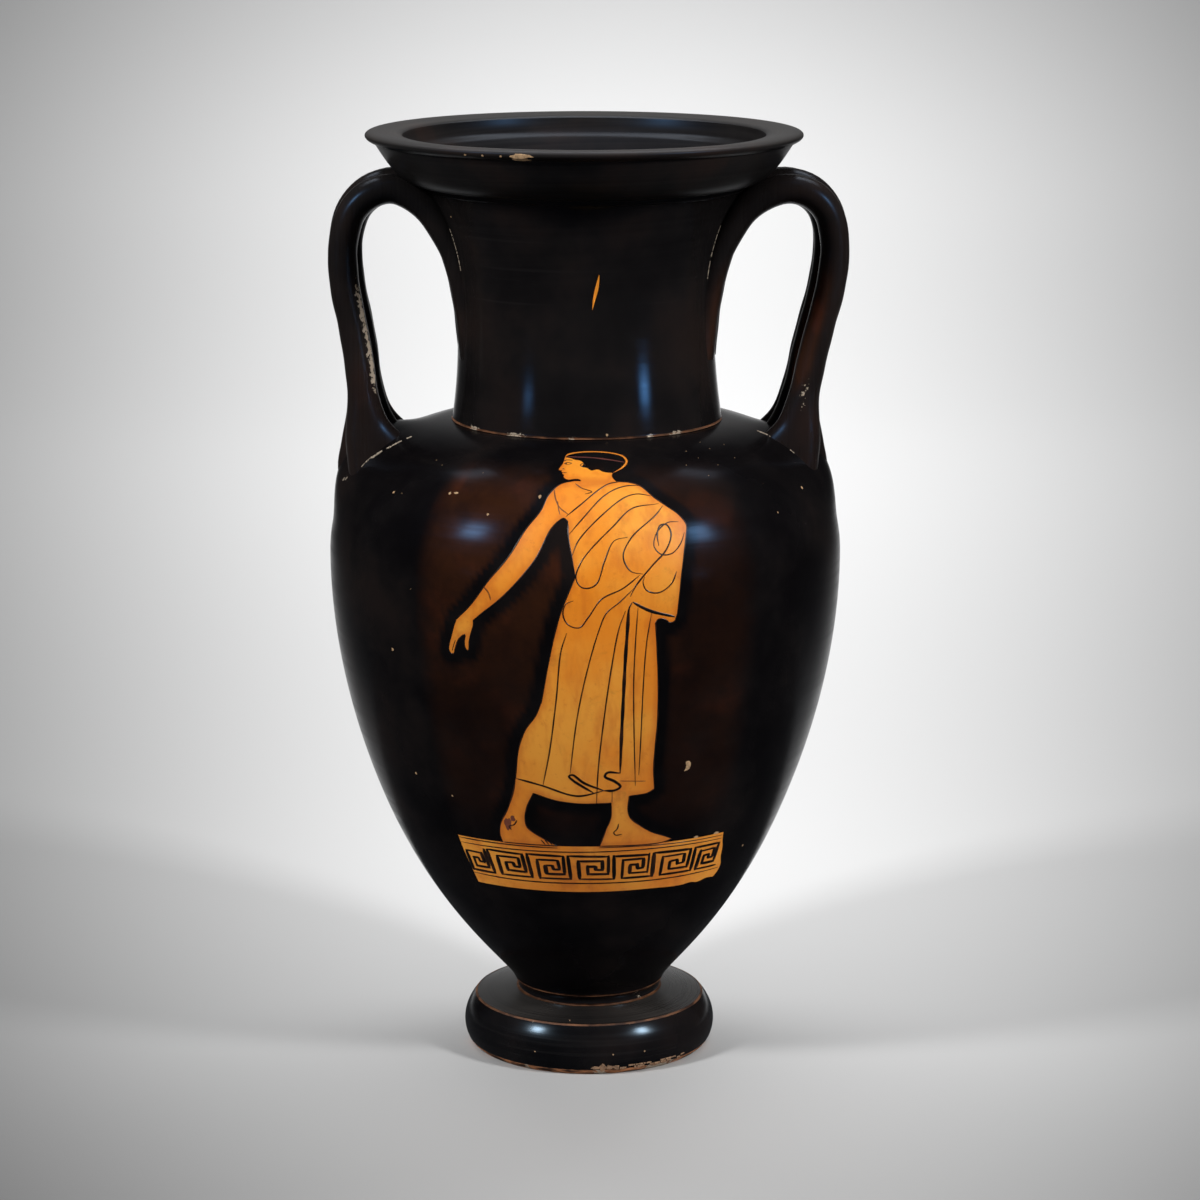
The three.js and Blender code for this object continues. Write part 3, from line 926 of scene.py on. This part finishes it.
def foot_piece():
    """Disc foot: worn matt top with a painted grey sheen, thin bare line round its edge, bare strip at the
    floor.
    """
    verts, faces, indices = turned(foot_sections(), closed=False)
    piece = add_piece("disc_foot", verts, faces, [foot_gloss, floor_strip, groove], indices, sharp_angle=35)
    radius, z = radius_and_height(verts)
    # painted sheen: the disc top is greyed, partly for wear and partly as a painted reflection that is
    # darker at the front
    on_top = smoothstep(z, 17.9, 18.1) * smoothstep(radius, 24, 27)
    less_painted_sheen_front = around(verts, [(0, 62)], 0.34)
    write_attribute(piece.data, "wear_and_sheen", on_top * (0.42 - less_painted_sheen_front))
    floor_edge = (1 - smoothstep(z, 1.6, 3.4)) * smoothstep(radius, 38, 41)
    floor_chips = floor_edge * around(verts, [(6, 9), (36, 30), (-30, 4)], 0.6)
    rim = smoothstep(z, 15, 17) * smoothstep(radius, 38, 40)
    rim_chips = rim * around(verts, [(22, 5), (40, 4), (-28, 3)], 0.42)
    write_attribute(piece.data, "crust", np.maximum(floor_chips, rim_chips))
    return piece


def fillet_piece():
    """Low hollowed ring between the foot and the body, between two bare lines."""
    low = FOOT_TOP + 0.1
    high = BODY_BOTTOM - 0.1
    outer = cubic((25.6, low + 0.4), (25.2, low + 1.3), (25.5, high - 1.2), (26.7, high - 0.6), 12)
    sections = [
        (np.array([(22.3, low), (25.2, low), outer[0]]), 1),
        (outer, 0),
        (np.array([outer[-1], (26.2, high - 0.35), (26.2, high), (22.3, high)]), 1),
        (np.array([(22.3, high), (22.3, low)]), 0),
    ]
    verts, faces, indices = turned(sections)
    piece = add_piece("fillet_ring", verts, faces, [foot_gloss, groove], indices, sharp_angle=35)
    write_attribute(piece.data, "crust", around(verts, [(-50, 20), (-10, 12), (45, 22)], 0.38))
    return piece


settle(neck_piece(), ["neck"])
settle(mouth_piece(), ["mouth"])
settle(foot_piece(), ["foot"])
settle(fillet_piece(), ["foot_fillet"])


# ---------- Handles ----------

COIL_PITCH = 12.0       # from the middle of one roll to the next, along Y
COIL_SIDES = 40
COIL_TURN = np.arange(COIL_SIDES) * 2 * math.pi / COIL_SIDES
COILS = {
    "front": {"y": -COIL_PITCH, "span": 12.4, "depth": 10.2},
    "middle": {"y": 0.0, "span": 13.0, "depth": 12.0},
    "back": {"y": COIL_PITCH, "span": 12.4, "depth": 10.2},
}

# The middle line of a handle, from inside the neck wall, over the top, to the shoulder.
HANDLE_LINE = [
    (39.2, 252), (40.2, 262), (41.3, 271), (43, 280), (46.4, 290.4), (54.6, 303.6), (62.6, 309.2),
    (69.6, 310.8), (77.2, 308.5), (82.8, 302.4), (85.5, 291), (84.6, 277), (81.8, 264), (78.6, 249),
    (77, 237), (77.7, 227), (79.4, 219), (80.6, 211), (79, 204), (73.5, 197),
]

# How the two handles differ from that line. `side` is the sign along X. `lean` is how far the
# outer run moves out per LEAN_RUN above LEAN_CENTRE, `turn` how far the front roll stands out
# past the middle one, `inset` how far the outer run is drawn in, and `spread` how far its foot
# is pushed out again.
LEFT = {"side": -1, "lean": -1, "turn": 0.15, "inset": 0.9, "spread": 1.0}
RIGHT = {"side": 1, "lean": 1, "turn": 0.6, "inset": 0.45, "spread": 0.3}
LEAN_CENTRE = 282       # the height where `lean` moves nothing
LEAN_RUN = 32           # the rise over which it moves the handle once
SIDE_ROLL_INSET = 4.5   # how much nearer the axis the front and back rolls meet the shoulder


def coil_line(placing, y):
    """The line that one roll follows: the middle line, leaned, turned and moved along Y."""
    points = []
    for x, z in HANDLE_LINE:
        on_outer_run = float(smoothstep(x, 56, 72))
        at_foot = float((1 - smoothstep(z, 232, 262)) * smoothstep(x, 72, 77))
        in_shoulder = float(1 - smoothstep(z, 207, 230))
        leaned = placing["lean"] * max((z - LEAN_CENTRE) / LEAN_RUN, -1.5)
        turned_by = -placing["turn"] * y / COIL_PITCH
        shift = (leaned + turned_by - placing["inset"]) * on_outer_run
        shift += placing["spread"] * at_foot
        shift -= SIDE_ROLL_INSET * abs(y) / COIL_PITCH * in_shoulder
        points.append((placing["side"] * (x + shift), z))
    return smooth_line(points, 1.6)


def coil_ring(place, outward, run, side, coil):
    """One oval ring of a roll. `run` goes from 0 in the neck wall to 1 in the shoulder, where
    the roll spreads sideways and its inner half reaches in to the wall as a root."""
    x, z = place
    y = coil["y"]
    root = 0.0
    spread = 1.0
    if run > 0.4:
        root = (max(250 - z, 0) / 35) ** 3
        spread = 1 + 0.15 * max(min((238 - z) / 30, 1.2), 0) ** 2
    spread -= 0.06 * float(1 - smoothstep(run, 0.05, 0.20))
    wobble = 1 + 0.012 * math.sin(z * 0.23 + y) + 0.01 * math.sin(z * 0.51 + 2 * y)
    ring = []
    for angle in COIL_TURN:
        across = math.cos(angle) * coil["span"] / 2 * wobble
        out = math.sin(angle) * coil["depth"] / 2 * wobble
        inward = max(-math.sin(angle), 0) * 26 * root
        ring.append((x + outward[0] * out - side * inward, (y + across) * spread, z + outward[1] * out))
    return ring


def coil_piece(name, placing, coil):
    """One roll of clay, swept along its line. Returns the piece and its rings of points."""
    line = coil_line(placing, coil["y"])
    along = np.gradient(line, axis=0)
    along /= np.linalg.norm(along, axis=1)[:, None]
    outward = np.stack([along[:, 1], -along[:, 0]], axis=1) * -placing["side"]
    runs = np.linspace(0, 1, len(line))
    rings = [coil_ring(*ring, placing["side"], coil) for ring in zip(line, outward, runs)]
    verts = np.array(rings).reshape(-1, 3)
    faces = tube_faces(len(rings), COIL_SIDES)
    faces.append(list(range(COIL_SIDES)))
    faces.append(list(range(len(verts) - COIL_SIDES, len(verts))))
    return add_piece(name, verts, faces, [handle_gloss], sharp_angle=60), np.array(rings)


def left_wear(z, turn, on_outer_run):
    """How thin the gloss of a left roll is, and how much lime lies on it."""
    thin = (0.16 - 0.1 * smoothstep(z, 235, 300)) * on_outer_run
    patch = smoothstep(z, 232, 246) * (1 - smoothstep(z, 268, 300)) * on_outer_run
    return thin, 0.66 * (patch * np.exp(-((turn - 242) / 27) ** 2))


def right_wear(z, turn, on_outer_run):
    """The same for a right roll, which has a brown streak down its front."""
    streak = smoothstep(z, 238, 250) * (1 - smoothstep(z, 272, 290))
    streak = 0.12 + 2.2 * streak * np.exp(-((turn - 215) / 26) ** 2)
    patch = np.exp(-((z - 240) / 11) ** 2 - ((turn - 190) / 28) ** 2)
    return streak * (0.4 + 0.6 * on_outer_run), 0.50 * patch


def build_handle(label, placing, wear):
    """Makes the three rolls of a handle. Returns the rings of the front one."""
    front_rings = None
    for place, coil in COILS.items():
        piece, rings = coil_piece(f"{label}_{place}_roll", placing, coil)
        turn = np.tile(np.degrees(COIL_TURN), len(rings))
        on_outer_run = np.repeat(np.arange(len(rings)) > 0.45 * len(rings), COIL_SIDES)
        thin, lime_patch = wear(rings[:, :, 2].reshape(-1), turn, on_outer_run)
        write_attribute(piece.data, "thin", thin)
        write_attribute(piece.data, "crust", lime_patch * (place == "front"))
        write_attribute(piece.data, "wear_and_sheen", np.full(len(turn), 0.045))
        settle(piece, [f"{label}_handle_{place}_coil"])
        if place == "front":
            front_rings = rings
    return front_rings


left_front = build_handle("left", LEFT, left_wear)
right_front = build_handle("right", RIGHT, right_wear)


# ---------- Chips and crust ----------

def flake(place, facing, width, height, raised=0.05):
    """An irregular flake where gloss is missing, with a crisp edge. `place` and `facing` are
    functions that give points and normals for offsets (sideways, upwards)."""
    corners = 13
    angles = np.arange(corners) * 2 * math.pi / corners + rng.random(corners) * 0.3
    reach = 0.68 + 0.45 * rng.random(corners)
    x = np.cos(angles) * reach * width / 2
    y = np.sin(angles) * reach * height / 2
    rim = place(x, y) + facing(x, y) * raised * 0.5
    low = place(x, y) - facing(x, y) * 0.2
    middle = place(np.zeros(1), np.zeros(1)) + facing(np.zeros(1), np.zeros(1)) * raised
    verts = np.vstack([rim, low, middle])
    faces = [[i, (i + 1) % corners, 2 * corners] for i in range(corners)]
    faces += [[corners + i, corners + (i + 1) % corners, (i + 1) % corners, i] for i in range(corners)]
    return verts, faces


def flake_on_belly(across, up, width, height):
    return flake(lambda x, y: belly_points(across + x, up + y),
                 lambda x, y: belly_normals(across + x, up + y), width, height)


def flake_on_ring(radius, z, slope, degrees, width, height, raised=0.05):
    """A flake on a turned wall that leans outwards by `slope` degrees as it rises."""
    tilt = math.radians(slope)

    def turned_by(x):
        return math.radians(degrees) + x / radius

    def place(x, y):
        r = radius + y * math.sin(tilt)
        t = turned_by(x)
        height_here = z + y * math.cos(tilt)
        return np.stack([r * np.sin(t) + lean(height_here), -r * np.cos(t), height_here], axis=-1)

    def facing(x, y):
        t = turned_by(x)
        level = math.cos(tilt)
        return np.stack([np.sin(t) * level, -np.cos(t) * level, np.full(len(t), -math.sin(tilt))], axis=-1)

    return flake(place, facing, width, height, raised)


def above_neck(points):
    """Distance of points outside the neck wall."""
    wall = neck_outline()
    radius = np.hypot(points[..., 0] - lean(points[..., 2]), points[..., 1])
    return radius - np.interp(points[..., 2], wall[:, 1], wall[:, 0])


def above_belly(points):
    """About how far points are outside the swollen shoulder."""
    up = np.interp(points[..., 2], OUTLINE[:, 1], WALL_LENGTH) - GROUND_LINE
    across = np.arctan2(points[..., 0] - lean(points[..., 2]), -points[..., 1]) * BELLY_RADIUS
    radius = np.hypot(points[..., 0] - lean(points[..., 2]), points[..., 1])
    rise = belly_height(up + 0.5) - belly_height(up - 0.5)
    return (radius - belly_radius(up)) * rise - root_swell(across, up)


def seam_line(rings, distance, low, high):
    """Where the front side of a roll dips under a wall, ring by ring, between two heights."""
    found = []
    for ring in rings:
        gap = distance(ring)
        after = np.roll(gap, -1)
        crossing = np.flatnonzero((gap > 0) != (after > 0))
        if len(crossing) == 0:
            continue
        k = min(crossing, key=lambda i: ring[i, 1])
        t = gap[k] / (gap[k] - after[k])
        point = ring[k] + (np.roll(ring, -1, axis=0)[k] - ring[k]) * t
        if low < point[2] < high:
            found.append(point)
    return smooth_line(found, 0.35)


def crumbs(path, facing, width, share):
    """A broken line of small crumbs that covers about a `share` of a path."""
    parts = []
    start = 0
    while start < len(path) - 8:
        length = int(rng.integers(3, 9))
        if rng.random() < share:
            piece = slice(start, start + length)
            widths = width * (0.35 + rng.random(length))
            parts.append(ribbon(path[piece], facing[piece], widths, 0.14, sink=0.2))
        start += length
    return parts


def seam_crumbs(path, width, share):
    """Crumbs along a seam beside a roll, which face out, to the front and a little up."""
    facing = path * [1, 1, 0] / np.linalg.norm(path[:, :2], axis=1)[:, None] + [0, -1, 0.2]
    return crumbs(path, facing / np.linalg.norm(facing, axis=1)[:, None], width, share)


def smear_line(side, start, end, width, share):
    """Lime left along the edge of the clay smeared under a handle."""
    across = np.linspace(start[0], end[0], 60) * side
    up = np.linspace(start[1], end[1], 60)
    return crumbs(belly_points(across, up, 0.02), belly_normals(across, up), width, share)


# Places where the gloss is missing on the belly: across, up, width and height.
CHIPS = [(-56, 122.6, 1.1, 1.3), (-53.3, 123, 2, 0.9), (-36.6, 116.3, 0.9, 0.9), (-17.8, 124.1, 1.3, 1.6),
         (62, -4.0, 3.2, 1.2), (51, -4.0, 2.6, 0.9), (80, 112, 0.6, 0.7), (86, -14, 0.9, 0.9)]
SHOULDER_SPECKS = [(68, 148.7), (68, 143.7), (80, 144.4), (76, 136.6), (63, 134.6), (56, 139.4), (53, 144),
                   (54.5, 130.4), (47, 136.4), (-69.5, 133.6), (-75.5, 135.3), (-46, 132.6), (-80, 119.4)]
HAND_SCRAPE = [(39.2, 28.2), (40.3, 27.2), (40.2, 25.6), (38.9, 24.6)]

# Chips at the edge of the foot: degrees from the front, width and height.
FOOT_CHIPS = [(3, 3.6, 1.2), (6.5, 3.0, 3.2), (9.5, 2.6, 2.0), (12, 2.2, 1.2)]

NECK_SCRATCH = [(2.0, 273.4), (2.6, 277), (3.5, 281), (4.3, 285.4)]     # (x, z)


def gloss_flakes():
    """Flakes and specks on the belly, one large chip at the lip and small ones beside it."""
    parts = [flake_on_belly(*chip) for chip in CHIPS]
    parts += [flake_on_belly(across, up, 0.38, 0.34) for across, up in SHOULDER_SPECKS]
    parts.append(stroke_on_belly(HAND_SCRAPE, 1.9, 0.06, taper=0.8))
    parts.append(flake_on_ring(76.15, HEIGHT - 1.8, 12, -15.5, 8.0, 1.7, 0.1))
    parts.append(flake_on_ring(75.15, HEIGHT - 3.0, 45, -15.8, 7.0, 1.8, 0.1))
    parts += [flake_on_ring(76, HEIGHT - 2.2, 30, turn, 0.9, 0.7) for turn in (-31, -26, -21)]
    parts += [flake_on_ring(45.2, 8, 0, turn, 0.55, 0.5) for turn in (26, 11, -25)]
    return parts


def foot_edge_chips():
    """Chips at the front of the foot's lower edge, and two broken lines of crumbs to the right."""
    parts = [flake_on_ring(44.4, 3.0, 22, turn, width, height, 0.12) for turn, width, height in FOOT_CHIPS]
    turns = np.radians(np.arange(12, 52, 0.5))
    ring = np.stack([np.sin(turns), -np.cos(turns), 0 * turns], axis=1)
    for radius, z, width, share in ((44.45, 3.3, 0.8, 0.6), (44.05, 2.5, 1.3, 0.75)):
        parts += crumbs(ring * radius + [lean(z), 0, z], ring, width, share)
    return parts


def lime_crumbs():
    """Lime left in the seams round the front rolls and at the edge of the smeared clay."""
    parts = []
    parts += seam_crumbs(seam_line(left_front, above_neck, 273, 302), 0.55, 0.75)
    parts += seam_crumbs(seam_line(right_front, above_neck, 280, 302), 0.55, 0.75)
    parts += seam_crumbs(seam_line(right_front, above_belly, 221, 230), 0.9, 0.9)
    parts += seam_crumbs(seam_line(right_front, above_belly, 210, 221), 0.4, 0.6)
    parts += seam_crumbs(seam_line(left_front, above_belly, 208, 226), 0.35, 0.4)
    for drop, share in ((0, 0.6), (0.9, 0.45), (1.8, 0.25)):
        parts += smear_line(-1, (115, 141.5 - drop), (115.5, 133.6 - drop), 0.9, share)
        parts += smear_line(-1, (115.5, 133.6 - drop), (120, 125 - drop), 1.1, share)
        parts += smear_line(-1, (120, 125 - drop), (128, 114 - drop), 0.8, share)
    parts += smear_line(1, (122, 144.5), (119.6, 136.5), 1.1, 0.85)
    parts += smear_line(1, (119.6, 136.5), (123.5, 125), 0.5, 0.6)
    return parts


def neck_scratch():
    """A scratch down to the clay, which lies almost level with the front of the neck."""
    x, z = np.array(NECK_SCRATCH).T
    wall = neck_outline()
    radius = np.interp(z, wall[:, 1], wall[:, 0])
    path = smooth_line(np.stack([x, -radius, z], axis=1), 0.5)
    widths = 1.3 * np.sin(np.linspace(0.1, math.pi - 0.1, len(path)))
    facing = np.tile([0.0, -1.0, 0.0], (len(path), 1))
    return [ribbon(path, facing, widths, 0.08, sink=0.3)]


lines_piece("gloss_flakes", gloss_flakes(), chipped)
lines_piece("foot_edge_chips", foot_edge_chips(), chipped_foot)
lines_piece("lime_crust", lime_crumbs(), crust)
lines_piece("neck_scratch", neck_scratch(), clay)
ankle_stain = [flake_on_belly(-32.4, 3.6, 3.6, 5.4), flake_on_belly(-29.9, 6.2, 2.4, 2.6)]
lines_piece("ankle_stain", ankle_stain, stained)


# ---------- Floor, light and camera ----------

def paper_material():
    """Pale paper whose colour is painted as a pool of light: lightest behind the vase and widening towards
    the back, painted darker to the sides, at the front and up the sweep.
    """
    s = Shader("pale_paper_painted_light")
    axes = s.add("ShaderNodeSeparateXYZ")
    s.plug(s.place, axes.inputs["Vector"])
    depth = s.plus(axes.outputs["Y"], axes.outputs["Z"])    # metres back along the sweep, about
    widening = s.math("SUBTRACT", 0.25, s.times(depth, 0.02))
    reach = s.plus(s.times(depth, widening), 0.295)
    sideways = s.math("DIVIDE", s.math("SUBTRACT", axes.outputs["X"], 0.03), reach)
    sides = s.math("EXPONENT", s.times(s.times(sideways, sideways), -1.5))
    front = s.ramp(depth, -0.5, 0.25, 0.22, 0.78)
    middle = s.ramp(depth, 0.3, 1.3, 1.0, 1.28)
    back = s.ramp(depth, 2.1, 3.4, 1.0, 0.25)
    # painted light: these falloffs darken the paper's colour as light would fall off round a lit pool
    painted_light_pool = s.times(s.times(sides, front), s.times(middle, back))
    base = s.mix(painted_light_pool, rgba(0.02, 0.02, 0.02), rgba(0.90, 0.90, 0.90))
    return s.finish(base, roughness=0.9)


def stage():
    """A floor in front, and behind it a sheet of the same paper that sweeps up in one curve.
    Only the sheet shows in the gloss."""
    paper = paper_material()
    half_width = 4000
    front_end, seam, wall_foot, wall, wall_top = -3000, 150, 1400, 2800, 4500
    sweep = cubic((wall_foot, 0), (2500, 0), (wall, 300), (wall, 1800), 40)
    near = [(front_end, 0), (seam, 0)]
    far = np.vstack([[(seam, 0)], sweep, [(wall, wall_top)]])
    for name, side_view in (("floor", near), ("backdrop", far)):
        verts = [(x, y, z) for y, z in side_view for x in (-half_width, half_width)]
        faces = [[2 * i, 2 * i + 1, 2 * i + 3, 2 * i + 2] for i in range(len(side_view) - 1)]
        piece = add_piece(name, verts, faces, [paper])
        piece.visible_glossy = name == "backdrop"


def soft_light(name, place, aim, width, height, power):
    light = bpy.data.lights.new(name, "AREA")
    light.shape = "RECTANGLE"
    light.size = width
    light.size_y = height
    light.energy = power
    lamp = bpy.data.objects.new(name, light)
    lamp.location = place
    lamp.rotation_euler = (Vector(aim) - Vector(place)).to_track_quat("-Z", "Y").to_euler()
    bpy.context.scene.collection.objects.link(lamp)
    return light


def round_pot(degrees, distance, height):
    """A place in metres, so many degrees round the pot from its front."""
    turn = math.radians(degrees)
    return (distance * math.sin(turn), -distance * math.cos(turn), height)


def studio():
    """A small soft box at each side, a weak narrow light for the neck beside it, soft light from
    above and a light on the backdrop. The two sides differ a little, as in the photograph."""
    middle = (0, 0, 0.17)
    neck = (0, 0, 0.244)
    distance = 1.6
    for name, side, elevation, neck_power in (("left", -1, 34, 0.0012), ("right", 1, 31, 0.0050)):
        rise = math.radians(elevation)
        box_height = middle[2] + distance * math.sin(rise)
        box_place = round_pot(side * 57, distance * math.cos(rise), box_height)
        soft_light(name + "_box", box_place, middle, width=0.24, height=0.30, power=17)
        neck_place = round_pot(side * 52, 0.7, 0.236)
        neck_light = soft_light(name + "_neck_light", neck_place, neck, 0.20, 0.03, neck_power)
        neck_light.spread = math.radians(12)
    soft_light("overhead", (0, -0.3, 2.4), middle, width=1.8, height=1.8, power=9)
    soft_light("backdrop_light", (0, 1.3, 2.6), (0, 1.6, 0), width=3.0, height=1.2, power=70)
    world = bpy.data.worlds.new("studio_air")
    world.use_nodes = True
    background = world.node_tree.nodes["Background"]
    background.inputs["Color"].default_value = rgba(0.9, 0.93, 1.0)
    background.inputs["Strength"].default_value = 0.05
    bpy.context.scene.world = world


def camera():
    """The photograph's view. Place and lens fit the ovals of the lip, the neck and the foot."""
    looking_down = 12.29    # degrees
    lens = bpy.data.cameras.new("camera")
    lens.lens = 115.46
    lens.sensor_width = 36
    lens.clip_end = 50
    eye = bpy.data.objects.new("camera", lens)
    eye.location = (0.00456, -1.3403, 0.4549)
    eye.rotation_euler = (math.radians(90 - looking_down), 0, 0)
    bpy.context.scene.collection.objects.link(eye)
    bpy.context.scene.camera = eye


stage()
studio()
camera()
bpy.context.scene.view_settings.view_transform = "Standard"
